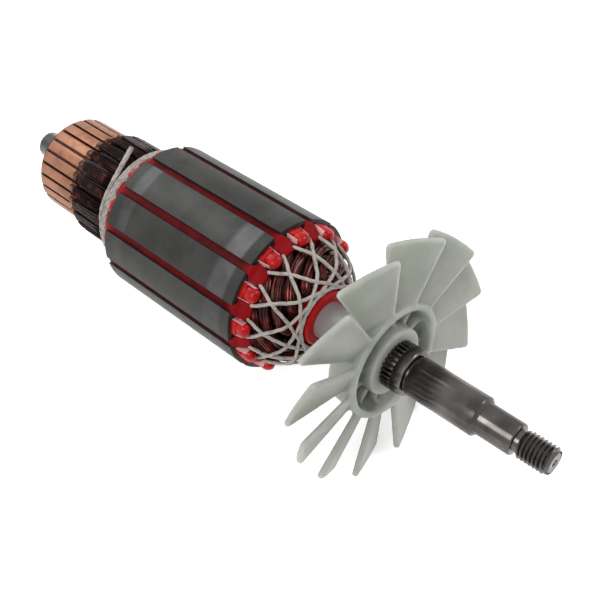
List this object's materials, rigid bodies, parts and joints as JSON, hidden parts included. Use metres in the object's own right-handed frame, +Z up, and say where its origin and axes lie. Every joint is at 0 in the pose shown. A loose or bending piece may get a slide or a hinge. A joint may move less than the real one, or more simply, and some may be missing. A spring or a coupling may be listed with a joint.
{
  "type": "motor armature",
  "caption": "Armature of a hand-held power tool's motor: steel shaft with laminated core, windings, copper commutator and a nylon cooling fan.",
  "frame": {"origin": "centre of the bounding box on the surface that the armature lies on", "axes": "+X along the table towards the threaded drive end, +Z up; the shaft lies in the XZ plane and rises 7.8 degrees towards +X, as the armature rests on its core's rear edge and on its lowest fan blade"},
  "size_m": [0.1818, 0.0648, 0.0644],
  "materials": {
    "ground_steel": "ground and slightly scratched",
    "core_steel": "turned sheet-steel edges, dull grey",
    "red_insulation": "glossy resin",
    "wedge_strip": "satin fibre strip",
    "liner_film": "thin translucent film",
    "enamelled_wire": "varnished enamel over copper",
    "commutator_copper": "turned copper with brush marks",
    "brown_moulding": "moulded phenolic",
    "white_cord": "waxed lacing cord",
    "white_nylon": "translucent moulded nylon"
  },
  "bodies": {
    "root": {"shaft": "ground_steel", "insulating_sleeve": "red_insulation", "lamination_stack": "core_steel", "end_insulator_drive": "red_insulation", "end_insulator_commutator": "red_insulation", "slot_liners": "liner_film", "commutator_moulding": "brown_moulding", "lacing_cord": "white_cord", "tie_cord": "white_cord", "fan": "white_nylon", "slot_wedge_01": "wedge_strip", "slot_wedge_02": "wedge_strip", "slot_wedge_03": "wedge_strip", "slot_wedge_04": "wedge_strip", "slot_wedge_05": "wedge_strip", "slot_wedge_06": "wedge_strip", "slot_wedge_07": "wedge_strip", "slot_wedge_08": "wedge_strip", "slot_wedge_09": "wedge_strip", "slot_wedge_10": "wedge_strip", "slot_wedge_11": "wedge_strip", "slot_wedge_12": "wedge_strip", "coil_01": "enamelled_wire", "coil_02": "enamelled_wire", "coil_03": "enamelled_wire", "coil_04": "enamelled_wire", "coil_05": "enamelled_wire", "coil_06": "enamelled_wire", "coil_07": "enamelled_wire", "coil_08": "enamelled_wire", "coil_09": "enamelled_wire", "coil_10": "enamelled_wire", "coil_11": "enamelled_wire", "coil_12": "enamelled_wire", "commutator_bar_01": "commutator_copper", "commutator_bar_02": "commutator_copper", "commutator_bar_03": "commutator_copper", "commutator_bar_04": "commutator_copper", "commutator_bar_05": "commutator_copper", "commutator_bar_06": "commutator_copper", "commutator_bar_07": "commutator_copper", "commutator_bar_08": "commutator_copper", "commutator_bar_09": "commutator_copper", "commutator_bar_10": "commutator_copper", "commutator_bar_11": "commutator_copper", "commutator_bar_12": "commutator_copper", "commutator_bar_13": "commutator_copper", "commutator_bar_14": "commutator_copper", "commutator_bar_15": "commutator_copper", "commutator_bar_16": "commutator_copper", "commutator_bar_17": "commutator_copper", "commutator_bar_18": "commutator_copper", "commutator_bar_19": "commutator_copper", "commutator_bar_20": "commutator_copper", "commutator_bar_21": "commutator_copper", "commutator_bar_22": "commutator_copper", "commutator_bar_23": "commutator_copper", "commutator_bar_24": "commutator_copper"}
  },
  "joints": []
}
